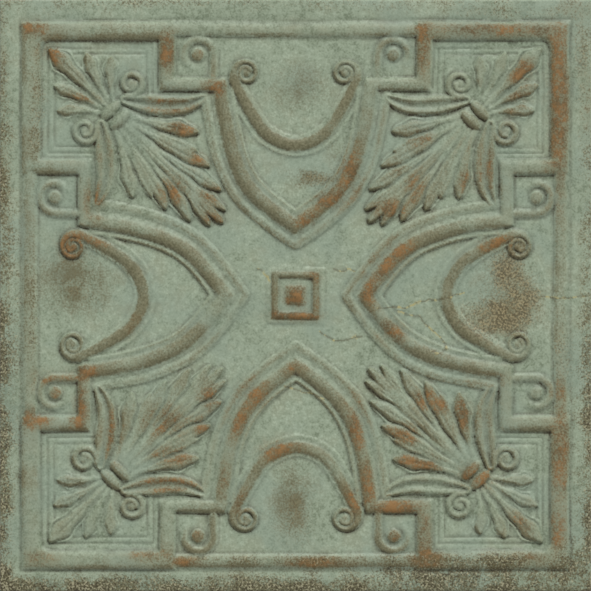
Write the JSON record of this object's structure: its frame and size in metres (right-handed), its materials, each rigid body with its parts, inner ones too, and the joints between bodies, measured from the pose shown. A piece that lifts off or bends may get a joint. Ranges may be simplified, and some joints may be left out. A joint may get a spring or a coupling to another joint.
{
  "type": "patterned tile",
  "caption": "Square glazed ceramic tile with moulded pressed-tin relief of pointed arches, scrolls and corner acanthus sprays, in worn verdigris green with rust tones.",
  "frame": {"origin": "centre of the flat back face, where the tile rests on the floor or beds on a wall", "axes": "+Z out of the patterned face, X and Y along the tile's edges, +Y towards the picture's top"},
  "size_m": [0.592, 0.592, 0.0131],
  "materials": {
    "glazed_face": "matt weathered green and rust glaze"
  },
  "bodies": {
    "root": {"tile": "glazed_face"}
  },
  "joints": []
}
